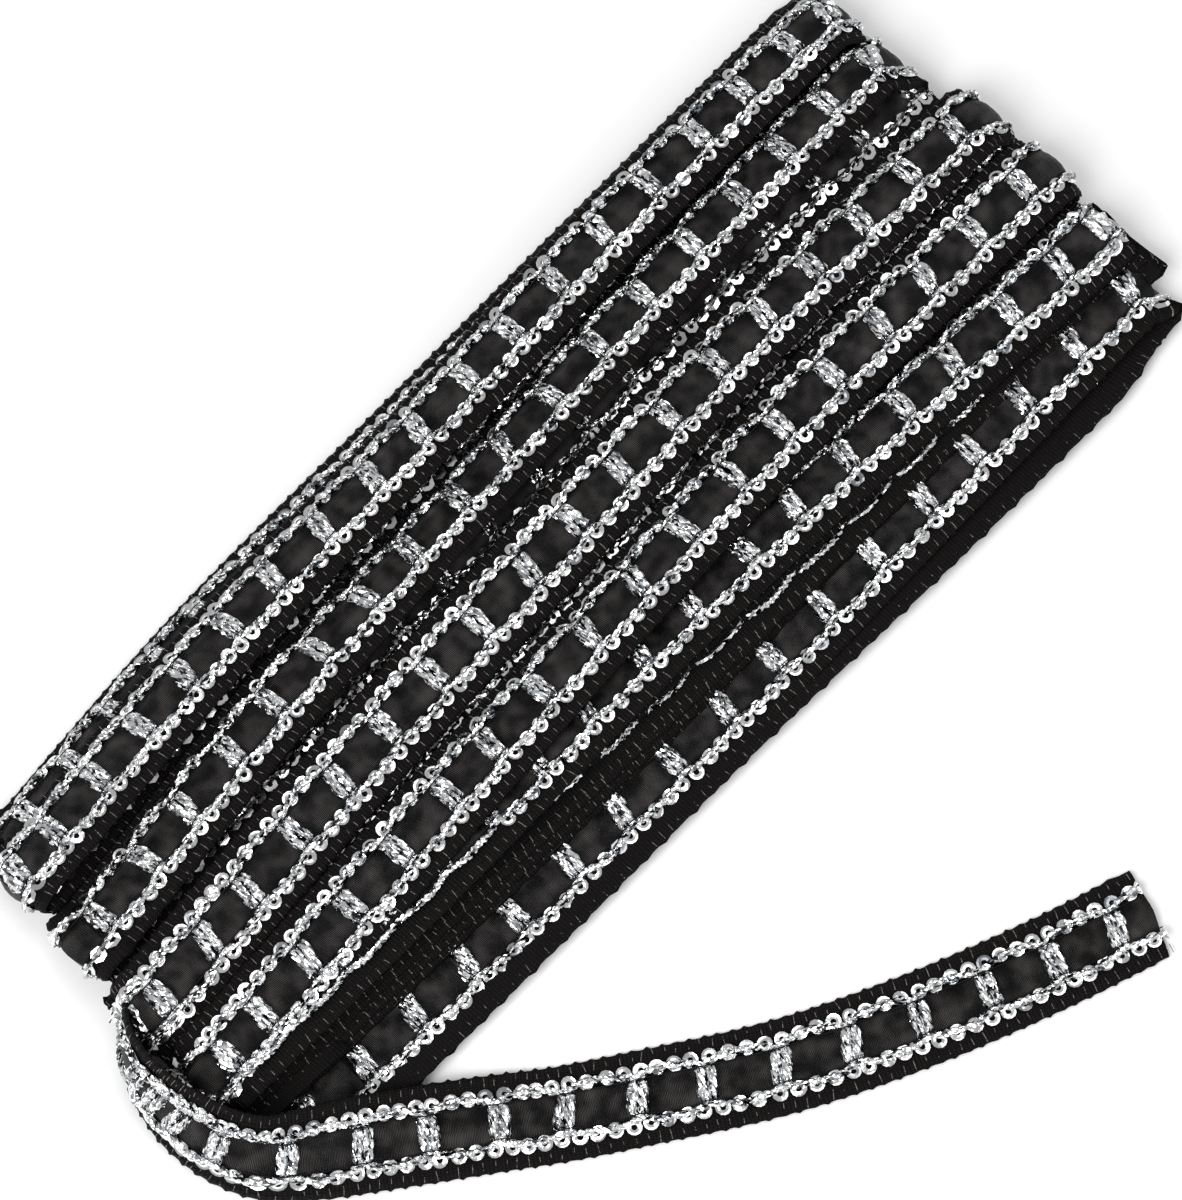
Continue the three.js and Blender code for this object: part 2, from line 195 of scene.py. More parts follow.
lameFinish = {
    # painted shade, painted grey and a painted white glint, given to the creases at random
    "shade": "#303338",
    "grey": "#9a9ea3",
    "paintedGlint": "#f4f5f6",
    "barCrease": (0.5, 1.4),      # mm along and across the trim
    "cordCrease": (1.3, 0.52),
    "apart": 40,          # sets the yarns apart in the pattern, so that each has its own creases
    "slope": 0.85,        # how far the creases turn the light
    "turn": 0.3,          # radians between the creases and the yarn
    "roughness": 0.22,
}


def lameYarn(name, crease):
    # slit metallised film wrapped on a core: hard long creases, each one turned its own way and each painted
    # with its own glint or shade,
    #     so that white glints lie beside grey and black ones
    material, tree = newMaterial(name)
    place = addNode(tree, "ShaderNodeAttribute", {"attribute_name": "trimPlace"})
    sized = addNode(tree, "ShaderNodeMapping",
                    {"Scale": (1 / crease[0], 1 / crease[1], lameFinish["apart"]),
                     "Rotation": (0, 0, lameFinish["turn"])},
                    {"Vector": place.outputs["Vector"]})
    creases = addNode(tree, "ShaderNodeTexVoronoi", {"Scale": 1.0}, {"Vector": sized.outputs["Vector"]})
    # each crease is painted at random from shade through grey to a white glint
    glintOrShade = addNode(tree, "ShaderNodeSeparateColor", links={0: creases.outputs["Color"]})
    colour = addNode(tree, "ShaderNodeValToRGB", links={"Fac": glintOrShade.outputs[2]},
                     stops=[(0.05, lameFinish["shade"]), (0.2, lameFinish["grey"]),
                            (0.4, lameFinish["paintedGlint"])])
    lean = addNode(tree, "ShaderNodeVectorMath", {"operation": "SUBTRACT", 1: (0.5, 0.5, 0.5)},
                   {0: creases.outputs["Color"]})
    slope = addNode(tree, "ShaderNodeVectorMath", {"operation": "SCALE", "Scale": lameFinish["slope"]},
                    {0: lean.outputs["Vector"]})
    ground = addNode(tree, "ShaderNodeNewGeometry")
    turned = addNode(tree, "ShaderNodeVectorMath", {"operation": "ADD"},
                     {0: slope.outputs["Vector"], 1: ground.outputs["Normal"]})
    facet = addNode(tree, "ShaderNodeVectorMath", {"operation": "NORMALIZE"}, {0: turned.outputs["Vector"]})
    finishMaterial(tree, {"Metallic": 1.0, "Roughness": lameFinish["roughness"]},
                   colour.outputs["Color"], facet.outputs["Vector"])
    return material


sequinFinish = {
    # painted dim reflection for a few sequins at random, and the film's clean silver for the rest
    "dimReflection": "#9a9ea3",
    "silver": "#f4f5f5",
    "dimShare": 0.14,
    "dents": 900,         # a metre, for dents of about 1 mm
    "roughness": 0.18,
}


def sequinFilm():
    # metallised PET film, punched and cupped: clean silver that reads white under soft light; a share of them,
    # picked at random, is painted grey as a painted dim reflection
    material, tree = newMaterial("metallised PET sequins, punched")
    place = addNode(tree, "ShaderNodeAttribute", {"attribute_name": "trimPlace"})
    axes = addNode(tree, "ShaderNodeSeparateXYZ", links={0: place.outputs["Vector"]})
    colour = addNode(tree, "ShaderNodeValToRGB", links={"Fac": axes.outputs["Z"]},
                     stops=[(0.0, sequinFinish["dimReflection"]), (sequinFinish["dimShare"], sequinFinish["silver"])])
    spot = addNode(tree, "ShaderNodeTexCoord")
    dents = addNode(tree, "ShaderNodeTexNoise", {"Scale": sequinFinish["dents"], "Detail": 2},
                    {"Vector": spot.outputs["Object"]})
    bump = addNode(tree, "ShaderNodeBump", {"Strength": 0.12, "Distance": 0.0002},
                   {"Height": dents.outputs["Fac"]})
    finishMaterial(tree, {"Metallic": 1.0, "Roughness": sequinFinish["roughness"]},
                   colour.outputs["Color"], bump.outputs["Normal"])
    return material


threadFinish = {
    # the twist's dark and light, roughness
    "stitch": ("#050505", "#121212", 0.7),
    "weft": ("#2f2d2b", "#8d8a86", 0.45),
    "twist": 2600,        # a metre, for turns of about 0.4 mm
}


def fineThread(name, finish):
    # polyester thread: fine turns of light and shade along it
    dark, light, roughness = finish
    material, tree = newMaterial(name)
    spot = addNode(tree, "ShaderNodeTexCoord")
    twist = addNode(tree, "ShaderNodeTexNoise", {"Scale": threadFinish["twist"], "Detail": 2},
                    {"Vector": spot.outputs["Object"]})
    colour = addNode(tree, "ShaderNodeValToRGB", links={"Fac": twist.outputs["Fac"]},
                     stops=[(0.35, dark), (0.65, light)])
    bump = addNode(tree, "ShaderNodeBump", {"Strength": 0.4, "Distance": 0.0001},
                   {"Height": twist.outputs["Fac"]})
    finishMaterial(tree, {"Roughness": roughness, "Specular IOR Level": 0.3},
                   colour.outputs["Color"], bump.outputs["Normal"])
    return material


materials = {
    "braid": polyesterBraid(),
    "ribbon": satinRibbon(),
    "bars": lameYarn("lame yarn across the trim, slit metallised film", lameFinish["barCrease"]),
    "cords": lameYarn("lame yarn along the trim, slit metallised film", lameFinish["cordCrease"]),
    "sequin": sequinFilm(),
    "stitch": fineThread("polyester sewing thread, black", threadFinish["stitch"]),
    "weft": fineThread("monofilament weft, grey", threadFinish["weft"]),
}
print("materials made")


trim = {
    "halfWidth": 11.25,
    "thickness": 2.2,     # from the braid's back to the face of the bars
    "repeat": 16.5,       # from one bar to the next
    "step": 0.6,          # of the sampled line
    "endStep": 1.4,       # the same for what lies on it past the last bar
}
# the X for which the tables of the runs give their five values
stations = np.array([-140, -70, 0, 70, 140])


def columnAt(values, x):
    # one value for all, or five through which a smooth curve is drawn
    values = np.broadcast_to(np.asarray(values, float), stations.shape)
    ends = np.concatenate([[2 * values[0] - values[1]], values, [2 * values[-1] - values[-2]]])
    t = np.clip((np.asarray(x, float) - stations[0]) / (stations[1] - stations[0]), 0, len(values) - 1 - 1e-6)
    i = np.floor(t).astype(int)
    f = t - i
    p0, p1, p2, p3 = ends[i], ends[i + 1], ends[i + 2], ends[i + 3]
    return 0.5 * (2 * p1 + (p2 - p0) * f + (2 * p0 - 5 * p1 + 4 * p2 - p3) * f ** 2
                  + (3 * p1 - p0 - 3 * p2 + p3) * f ** 3)


def smooth(t):
    t = np.clip(t, 0, 1)
    return t * t * (3 - 2 * t)


def unit(v):
    return v / np.linalg.norm(v, axis=-1, keepdims=True)


def makeLine(mid, across, curl, closed=False, level=False):
    # curl is one over the radius, in mm, that the trim is bent to across its width;
    # a level one is turned in plan alone where it moves sideways, so that its edges don't dip in a bend
    length = np.concatenate([[0], np.cumsum(np.linalg.norm(np.diff(mid, axis=0), axis=1))])
    along = unit(np.gradient(mid, length, axis=0))
    if closed:
        along[0] = along[-1] = unit(along[0] + along[-1])
    square = along * (1, 1, 0) if level else along
    across = unit(across - square * np.sum(across * square, axis=1, keepdims=True))
    return {"s": length, "mid": mid, "along": along, "across": across, "curl": np.maximum(curl, 1e-4),
            "closed": closed, "length": length[-1]}


def placeOn(line, s, a, h):
    # a point s along the line, a across it and h over the braid's back, in metres
    s, a, h = np.broadcast_arrays(s, a, h)
    flat = s.ravel() % line["length"] if line["closed"] else s.ravel()
    pick = lambda rows: np.stack([np.interp(flat, line["s"], rows[:, i]) for i in range(3)], 1)
    mid, along, across = pick(line["mid"]), unit(pick(line["along"])), unit(pick(line["across"]))
    face = unit(np.cross(along, across))
    curl = np.interp(flat, line["s"], line["curl"])
    share = np.interp(flat, line["s"], line["share"]) if "share" in line else 1
    angle = a.ravel() * share * curl / (1 + trim["thickness"] * curl)
    sine, cosine = np.sin(angle)[:, None], np.cos(angle)[:, None]
    bend = curl[:, None]
    normal = face * cosine + across * sine
    point = mid + across * sine / bend - face * (1 - cosine) / bend + normal * h.ravel()[:, None]
    return (point * mm).reshape(*s.shape, 3)


# how the hank is wound
hank = {
    "bendRadius": 9,
    "bendHeight": 8,      # of the outermost line of a bend
    "bendPoints": 26,
    "unroll": 0.7,        # power by which a run's roll is lost in its bend
    "slackRadius": 7,
    "slackHeight": 4.4,
    "bottomBack": 2.75,   # height of the back of the runs that the hank lies on
    "innerBack": 5.0,     # the same where a turn passes inside another
    "tail": 22,           # how far an inner turn goes on under the hank
    "tailPoints": 12,
    "drift": 60,          # length over which a turn moves sideways into its bottom run
    "bendShare": 0.35,    # the part of that move that it makes in its bend
    "crownCurl": 0.032,
    "bottomCurl": 0.03,
    "curlDrop": 4,        # below a bend's outermost line, over which one turns into the other
    "barInset": (4, 8),   # from an inner turn's ends to its first and last bar on top, at least
}


def bendPoints(start, radius, backs, level, way, sides):
    # a half turn at one end, from the top (way +1 at the +X end) down to the bottom
    reach = radius - trim["thickness"]
    theta = np.linspace(0, math.pi, hank["bendPoints"])
    drop = np.where(theta < math.pi / 2, backs[0] - level, level - backs[1])
    # it moves sideways above and below its outermost line, and not where it stands upright
    share = (smooth(2 * theta / math.pi) + smooth(2 * theta / math.pi - 1)) / 2
    y = sides[0] + (sides[1] - sides[0]) * share
    return start + way * reach * np.sin(theta), y, level + drop * np.cos(theta)


def tuckedPart(start, stop, y, z):
    # an end that goes on under the hank
    x = np.linspace(start, stop, hank["tailPoints"])
    return np.stack([x, np.full_like(x, y), np.full_like(x, z), np.zeros_like(x)], 1)


def runLine(run, bottom=None):
    # one turn: a closed loop with its bottom run, or a top run with its ends tucked under
    slack = run.get("slack", False)
    radius = hank["slackRadius" if slack else "bendRadius"]
    level = run.get("level", hank["slackHeight" if slack else "bendHeight"])
    x0, x1 = run["from"] + radius, run["to"] - radius
    topX = np.linspace(x0, x1, int((x1 - x0) / trim["step"]))
    topY, topZ = columnAt(run["y"], topX), columnAt(run["z"], topX) - trim["thickness"]
    roll = np.radians(columnAt(run["roll"], topX))
    under = run.get("under", hank["bottomBack"] if bottom else hank["innerBack"])
    lifted = under + run.get("endLift", 0)
    if bottom:
        share = run.get("bendShare", hank["bendShare"])
        lowEnds = [y + (columnAt(bottom, x) - y) * share for x, y in ((x0, topY[0]), (x1, topY[-1]))]
    else:
        lowEnds = [y + run.get("tuck", 0) for y in (topY[0], topY[-1])]
    right = bendPoints(x1, radius, (topZ[-1], lifted), level, 1, (topY[-1], lowEnds[1]))
    left = bendPoints(x0, radius, (topZ[0], lifted), level, -1, (topY[0], lowEnds[0]))
    unroll = np.linspace(1, 0, hank["bendPoints"]) ** hank["unroll"]
    # the parts are rows of x, y, z and roll, each in the order in which the trim passes through them
    top = np.stack([topX, topY, topZ, roll], 1)
    down = np.stack([*right, unroll * roll[-1]], 1)
    up = np.stack([*left, unroll * roll[0]], 1)[::-1]
    middle = len(up) // 2
    if bottom:
        drift = run.get("drift", hank["drift"])
        lowX = topX[::-1]
        near = np.minimum(smooth((x1 - lowX) / drift), smooth((lowX - x0) / drift))
        side = np.where(lowX > (x0 + x1) / 2, lowEnds[1], lowEnds[0])
        lowY = side + (columnAt(bottom, lowX) - side) * near
        lowZ = under + (lifted - under) * (1 - near)
        low = np.stack([lowX, lowY, lowZ, np.zeros_like(lowX)], 1)
        # the loop starts and ends in the middle of the bend at the -X end
        start = 0
        parts = [up[middle:-1], top, down[1:], low[1:], up[1:middle + 1]]
    else:
        tail = tuckedPart(x0 + hank["tail"], x0, lowEnds[0], lifted)[:-1]
        low = tuckedPart(x1, x1 - hank["tail"], lowEnds[1], lifted)
        start = len(tail) + middle
        parts = [tail, up[:-1], top, down[1:], low[1:]]
    x, y, z, roll = np.concatenate(parts).T
    mid = np.stack([x, y, z], 1)
    across = np.stack([np.zeros_like(roll), np.cos(roll), -np.sin(roll)], 1)
    below = smooth((level - z) / hank["curlDrop"])
    curl = columnAt(run.get("curl", hank["crownCurl"]), x) * (1 - below) + hank["bottomCurl"] * below
    line = makeLine(mid, across, curl, closed=bool(bottom), level=True)
    stop = start + (len(up) - middle) + len(top) + len(down) // 2 - 2
    line["top"] = (line["s"][start], line["s"][stop])
    line["xToS"] = (x[start:stop], line["s"][start:stop])
    return line


def barsOn(line, xs):
    # the bars' places along a line: those seen on top at their own X, and evenly spaced past them
    seen = np.interp(xs, *line["xToS"])
    if line["closed"]:
        rest = line["length"] - (seen[-1] - seen[0])
        count = int(round(rest / trim["repeat"]))
        return np.concatenate([seen, seen[-1] + rest * np.arange(1, count + 1) / count])
    before = seen[0] - trim["repeat"] * np.arange(int(seen[0] / trim["repeat"]), 0, -1)
    after = seen[-1] + trim["repeat"] * np.arange(1, int((line["length"] - seen[-1]) / trim["repeat"]) + 1)
    return np.concatenate([before, seen, after])


# the runs that show: Y of the middle line, Z of the trim's face and roll in degrees at the stations, X of both
# ends, number of the bottom run that closes the turn, X of the bars
topRuns = {
    "run1": {
        "y": [38.5, 46.5, 50.2, 55.2, 57.5], "z": [14.5, 15.5, 15.5, 15.5, 14.5],
        "roll": [24, 18, 21, 16, 20],
        "from": -143.5, "to": 150, "bottom": 4,
        "bars": [-138.5, -126.5, -110.9, -95.6, -80.1, -64.6, -49.5, -32.8, -15.9, 0.1, 17.1, 32.8, 49, 65.5,
                 82.1, 99.4, 115.3, 131.6, 144.2],
    },
    "run2": {
        "y": [16.8, 26.6, 31.8, 37.4, 41.2], "z": [14.5, 15.5, 15.5, 15.5, 14.5],
        "roll": [16, 15, 29, 20, 22],
        "from": -145, "to": 150, "bottom": 3, "endLift": 2.2,
        "bars": [-133.3, -116.7, -102, -85.4, -70.8, -54.4, -38, -22.3, -5.5, 11.1, 27.4, 44.1, 60.7, 78.1,
                 95.1, 110.7, 127.1, 142.5],
    },
    "run3": {
        "y": [-5.5, 2.5, 8.1, 12.5, 13.8], "z": [16, 17, 17, 17, 15.5],
        "roll": [-14, -4, -1, 14, 16],
        "from": -146, "to": 156, "bottom": 2,
        "bars": [-143.3, -136.8, -120.4, -105.8, -89.1, -73.5, -57.1, -40.4, -24.4, -7.2, 8.7, 25.3, 42.6, 59.7,
                 76.7, 93.4, 110.2, 127.1, 142.8],
    },
    "run4": {
        "y": [-25.5, -18.5, -13.2, -8.6, -7.2], "z": [15, 16, 16.5, 16.5, 15.5],
        "roll": [-14, 8, 18, 6, 4],
        "from": -146, "to": 157,
        "bars": [-135.7, -123.6, -107.6, -92.2, -75.5, -58, -43.2, -25.7, -8.4, 8.4, 25.1, 42.5, 59.3, 76.8,
                 94.1, 110.1, 126.6, 143.7],
    },
    "run5": {
        "y": [-26.6, -26.2, -23.9, -24.7, -27], "z": [12, 13, 13.3, 13.8, 12.8],
        "roll": [20, 21, 18, 12, 2],
        # its lower row of sequins starts at X -45, before that only the cord shows
        "from": -144, "to": 154.5, "bottom": 1, "endLift": 2.2, "bareTo": -45,
        "bars": [-136.8, -120.4, -103.9, -87.4, -70.9, -54.5, -38, -21.4, -2.9, 14, 32.1, 47.9, 65.4, 83.7,
                 100.1, 118.9, 135.8, 149.6],
    },
    "run6": {
        "y": [-45.5, -45.8, -45.1, -43.2, -41.2], "z": [4.8, 4.8, 5.2, 7.4, 8.8],
        "roll": [0, 0, 2, 3, 4],
        "from": -135, "to": 151, "bottom": 0, "slack": True, "curl": 0.019, "drift": 22, "bendShare": 0.5,
        "bars": [-114, -97.9, -81.3, -65.7, -47.8, -31.2, -14.2, 3.4, 19.8, 36.9, 54.1, 72.2, 88.6, 106.3,
                 124.9, 143.7],
    },
    "side_run": {
        "y": [46.5, 53.6, 54.7, 57.2, 59.7], "z": [9.4, 9.1, 9.1, 9.0, 8.8],
        "roll": [23, 21, 12, 11, 12],
        "from": -136, "to": 147, "curl": [0.06, 0.056, 0.042, 0.04, 0.04], "tuck": -4.5,
        "bars": [-126.7, -111.2, -96, -80.2, -65.3, -49, -32.5, -16, 0.5, 17, 33.5, 50, 66.5, 83, 99.5, 116,
                 132.5],
    },
}

# turns that show only between the others: in the grooves, and as a stack of edges under the last run;
# phase is the X of a bar, and a turn with an edge is bare braid that shows on that side
innerRuns = {
    "groove1": {"y": [37.5, 44.2, 47.5, 51, 52], "z": 9.5,
                "roll": 4, "from": -142, "to": 147, "phase": -99.8},
    "groove2": {"y": [16, 21.5, 25.8, 31.2, 32], "z": 10,
                "roll": 4, "from": -143.5, "to": 151, "phase": -102.5},
    "groove3": {"y": [-5, -1.5, 3.5, 9, 10], "z": 11,
                "roll": 4, "from": -148, "to": 154, "phase": -107},
    "stack1": {"y": [-24, -24.2, -24.4, -25.4, -27], "z": [11.6, 11.9, 11.9, 12.2, 11.8],
               "roll": 2, "from": -148, "to": 155, "phase": -112},
    # the lower cord of stack2 shows in dashes where it bows out past the edge over it, without sequins
    "stack2": {"y": [-25.3, -27.3, -29.3, -30.4, -28.6], "z": [9.9, 9.9, 9.9, 10.3, 9.9],
               "roll": 1, "from": -148, "to": 155, "phase": -94.8, "sequins": (1,)},
    "stack3": {"y": [-26.8, -28.2, -30, -30.5, -29.6], "z": [9.3, 9.3, 9.3, 9.7, 9.5],
               "roll": 3, "from": -147, "to": 156, "phase": -109, "edge": -1},
    "stack4": {"y": [-28.1, -29.2, -30.8, -30.6, -31], "z": [8.7, 8.6, 8.6, 9.1, 9],
               "roll": 1, "from": -147, "to": 157, "phase": -101, "edge": -1},
    "stack5": {"y": [-29.7, -30.4, -31.6, -30.8, -32.4], "z": [8, 7.9, 7.9, 8.5, 8.5],
               "roll": 2, "from": -146, "to": 157, "phase": -106, "edge": -1},
    "stack6": {"y": [-31.2, -31.7, -32.4, -31, -33.8], "z": [7.2, 7.1, 7.1, 7.9, 7.9],
               "roll": 1, "from": -145, "to": 157, "phase": -98.5, "edge": -1},
    "side_stack": {"y": [42.6, 49.4, 51.8, 54.6, 56.4], "z": 7.2, "tuck": -3.5,
                   "roll": 6, "from": -134, "to": 145, "phase": -106, "edge": 1, "level": 6.2, "under": 4.4},
}

# Y of the middle lines of the runs underneath
bottomRuns = [
    [-47.9, -47.7, -47.2, -48.2, -47.9],
    [-25, -24, -23, -21.5, -20.5],
    [-3, -1.5, 0, 1.5, 3],
    [17.5, 21, 23, 25, 26.5],
    [37, 43, 46, 48.5, 50],
]

looseLay = {
    "lift": 0.2,          # of its lower edge over the floor
    "curl": 0.003,
    "slant": 0.17,        # of the cut at its end, against a square one
    "slantReach": 8,      # length before the cut over which the weave leans with it
}
# the loose end: its middle line on the plan, its lean, 90 where it stands on its edge, and the share of
# its width that it keeps where it is squeezed under the turns
looseEnd = [
    # x, y, lean, width
    (-138.0, 5.0, 90, 0.55),
    (-143.5, -0.8, 88, 0.6),
    (-148.6, -7.0, 82, 0.84),
    (-151.5, -13.2, 74, 1),
    (-152.4, -20.0, 67, 1),
    (-152.1, -28.5, 58, 1),
    (-150.0, -38.0, 52, 1),
    (-145.4, -46.6, 46, 1),
    (-136.8, -53.4, 35, 1),
    (-127.2, -59.6, 23, 1),
    (-115.2, -67.8, 13, 1),
    (-102.0, -77.2, 5, 1),
    (-90.0, -86.0, 0, 1),
    (-76.0, -95.4, 0, 1),
    (-48.0, -113.3, 0, 1),
    (-18.0, -128.0, 0, 1),
    (13.0, -140.2, 0, 1),
    (37.7, -148.3, 0, 1),
]
looseBars = [
    # x, y of the bars that show
    (-154.4, -13.6), (-154.5, -20.4), (-153, -27.6), (-151.3, -38.1), (-140.2, -48.2), (-127.4, -58.6),
    (-114.8, -67.5), (-102.4, -77.4), (-90.1, -86.3), (-75.9, -95.1), (-62.2, -104.4), (-48.4, -113.5),
    (-33.2, -120.9), (-18.2, -127.9), (-2.7, -134), (12.7, -139.9), (28.9, -145.6),
]


def throughPoints(points, perSpan=24):
    # a smooth line through the points, spaced by the root of their distance
    p = np.array(points, float)
    p = np.vstack([2 * p[0] - p[1], p, 2 * p[-1] - p[-2]])
    out = []
    for i in range(len(points) - 1):
        p0, p1, p2, p3 = p[i:i + 4]
        d0, d1, d2 = (math.sqrt(np.linalg.norm(b - a)) for a, b in ((p0, p1), (p1, p2), (p2, p3)))
        m1 = d1 * ((p1 - p0) / d0 - (p2 - p0) / (d0 + d1) + (p2 - p1) / d1)
        m2 = d1 * ((p2 - p1) / d1 - (p3 - p1) / (d1 + d2) + (p3 - p2) / d2)
        t = np.linspace(0, 1, perSpan, endpoint=False)[:, None]
        out.append(p1 + m1 * t + (3 * p2 - 3 * p1 - 2 * m1 - m2) * t ** 2
                   + (2 * p1 - 2 * p2 + m1 + m2) * t ** 3)
    return np.vstack([*out, p[-2][None]])


def looseLine():
    rows = throughPoints(looseEnd)
    lean, share = np.radians(np.clip(rows[:, 2], 0, 90)), np.clip(rows[:, 3], 0, 1)
    plan = rows[:, :3] * [1, 1, 0]
    along = unit(np.gradient(plan, axis=0))
    left = np.stack([-along[:, 1], along[:, 0], np.zeros(len(along))], 1)
    up = np.array([0, 0, 1])
    across = left * np.cos(lean)[:, None] + up * np.sin(lean)[:, None]
    mid = plan + up * (looseLay["lift"] + trim["halfWidth"] * share * np.sin(lean))[:, None]
    line = makeLine(mid, across, np.full(len(mid), looseLay["curl"]))
    line["share"], line["slant"] = share, looseLay["slant"]
    line["top"] = (0, line["length"])
    return line


# each piece gathers closed grids of points
pieces = {}


def gather(piece, points, place, closedAlong=False):
    # points: grids, steps along, points round, xyz; place: along, across and a random number for each point
    grids, steps, around = points.shape[:3]
    store = pieces.setdefault(piece, {"points": [], "place": [], "faces": [], "count": 0})
    first = store["count"]
    index = first + np.arange(grids * steps * around).reshape(grids, steps, around)
    turned = np.roll(index, -1, axis=2)
    if closedAlong:
        near, far = index, np.roll(index, -1, axis=1)
        nearTurned, farTurned = turned, np.roll(turned, -1, axis=1)
    else:
        near, far, nearTurned, farTurned = index[:, :-1], index[:, 1:], turned[:, :-1], turned[:, 1:]
        store["faces"].append(index[:, 0, :].reshape(-1, around))
        store["faces"].append(index[:, -1, ::-1].reshape(-1, around))
    store["faces"].append(np.stack([near, far, farTurned, nearTurned], -1).reshape(-1, 4))
    store["points"].append(points.reshape(-1, 3))
    store["place"].append(np.broadcast_to(place, points.shape).reshape(-1, 3))
    store["count"] = first + grids * steps * around


def tubes(piece, line, s, a, h, radiusA, radiusH, sides=4, closedAlong=False, seed=None):
    # round yarns whose middle lines are s, a, h (grids, steps); swept in the plane across the line of each
    phase = np.linspace(0, 2 * math.pi, sides, endpoint=False)
    ds, da = np.gradient(s, axis=1), np.gradient(a, axis=1)
    size = np.hypot(ds, da) + 1e-9
    sideS, sideA = (-da / size)[..., None], (ds / size)[..., None]
    offset = np.cos(phase) * np.asarray(radiusA)[..., None]
    rise = np.sin(phase) * np.asarray(radiusH)[..., None]
    sAll, aAll = s[..., None] + sideS * offset, a[..., None] + sideA * offset
    hAll = h[..., None] + rise
    if seed is None:
        seed = np.zeros(len(s))
    place = np.stack([sAll, aAll, np.broadcast_to(np.asarray(seed)[:, None, None], sAll.shape)], -1)
    gather(piece, placeOn(line, sAll, aAll, hAll), place, closedAlong)


def cellSamples(at, counts, closed):
    # places along the line, and how far each is from its bar to the next, 0 to 1
    s, u = [], []
    for start, stop, count in zip(at[:-1], at[1:], counts):
        share = np.arange(count) / count
        s.append(start + share * (stop - start))
        u.append(share)
    if not closed:
        s.append([at[-1]])
        u.append([0.0])
    return np.concatenate(s), np.concatenate(u)


def outward(u):
    # 0 at a bar and 1 in the middle of a window
    return np.sin(math.pi * np.clip(u, 0, 1))


def leaning(line, s, a):
    # rows square to the line, that lean over towards a slanted cut at its end
    near = smooth((s - line["length"] + looseLay["slantReach"]) / looseLay["slantReach"])[:, None]
    return s[:, None] + line.get("slant", 0) * a * near


braid = {
    # across, height: half of the face, from the ribbon's channel over the selvage's cords to the edge
    "face": [(5.2, 0.45), (5.6, 1.05), (7.7, 0.9), (8.3, 1.22), (8.95, 0.96), (9.6, 1.28), (10.25, 1.0),
             (11.05, 0.62)],
    "backEdge": 10.4,
    "knotPitch": 3.3,
    "knotReach": 0.5,
    "knotRise": 0.3,
    "steps": 18,
    "plainSteps": 8,
}


def buildBraid(piece, line, s):
    # the woven ground: a channel for the ribbon, selvages beside it and knots along the outer edges
    half = braid["face"]
    ring = [(-a, h, i) for i, (a, h) in list(enumerate(half))[::-1]] + [(0, half[0][1], -1)]
    ring += [(a, h, i) for i, (a, h) in enumerate(half)]
    ring += [(braid["backEdge"], 0, -1), (0, 0, -1), (-braid["backEdge"], 0, -1)]
    knot = np.clip(np.cos(2 * math.pi * s / braid["knotPitch"]), 0, 1) ** 2
    edge, shoulder = len(half) - 1, len(half) - 2
    a = np.stack([x + (np.sign(x) * braid["knotReach"] * knot if i == edge else 0 * s) for x, h, i in ring], 1)
    h = np.stack([y + (braid["knotRise"] * knot if i in (edge, shoulder) else 0 * s) for x, y, i in ring], 1)
    sAll = leaning(line, s, a)
    place = np.stack([sAll, a, 0 * a], -1)
    gather(piece, placeOn(line, sAll, a, h)[None], place[None], line["closed"])


ribbon = {
    "half": 5.0,
    "back": 0.62,
    "thickness": 0.3,
    "puff": 1.1,          # how far it stands up in a window
    "rise": 0.65,         # power: the lower, the steeper beside a bar
    "round": 2.4,         # power: the higher, the flatter its middle
    "wander": 0.12,       # share of the puff, and the radians of that a mm
    "wanderTurn": 0.37,
    "columns": (-1, -0.72, -0.38, 0, 0.38, 0.72, 1),
    "steps": 12,
    "plainSteps": 5,
}


def buildRibbon(piece, line, s, u):
    # the satin ribbon: flat under the bars and puffed in the windows between them
    share = np.array(ribbon["columns"])
    window = outward(u)[:, None] ** ribbon["rise"]
    wander = 1 + ribbon["wander"] * np.sin(s * ribbon["wanderTurn"] + line["seed"])[:, None]
    crown = 1 - np.abs(share) ** ribbon["round"]
    top = ribbon["back"] + ribbon["thickness"] + ribbon["puff"] * wander * window * crown
    under = top - ribbon["thickness"]
    a = np.concatenate([share, share[::-1]]) * ribbon["half"]
    h = np.concatenate([top, under[:, ::-1]], 1)
    a = np.broadcast_to(a, h.shape)
    sAll = leaning(line, s, a)
    place = np.stack([sAll, a, 0 * a], -1)
    gather(piece, placeOn(line, sAll, a, h)[None], place[None], line["closed"])


bars = {
    "spread": 1.28,       # from a bar's middle to each of its two bundles
    "reach": 4.1,         # half the length across the trim
    "height": 1.9,
    "arch": 0.35,
    "pressed": 1.35,      # the height of those pressed flat under the hank
    "dive": 1.1,          # how far the ends go down to the braid
    "endFrom": 3.1,       # where they start to, from the trim's middle
    "slant": (0.25, 0.35),    # mean and spread, as in the next three
    "lift": (0, 0.1),
    "bow": (0.15, 0.2),
    "sway": (0.22, 0.12),
    "roughness": (0.06, 0.05),    # spread of the points along the trim and in height
    "yarnRadius": 0.76,
    "yarnFlat": 0.78,     # a yarn's height over its width
    "thinFrom": 3.3,      # from where it gets thinner, and by what share
    "thin": 0.3,
    "twistRadius": 0.56,
    "twistFlat": 0.7,
    "pinch": 0.45,        # share of the twist's radius that is lost at the ends
    "twists": 1.1,
    # points along, points round and yarns
    "shown": (11, 6, 3),
    "plain": (7, 4, 2),
}


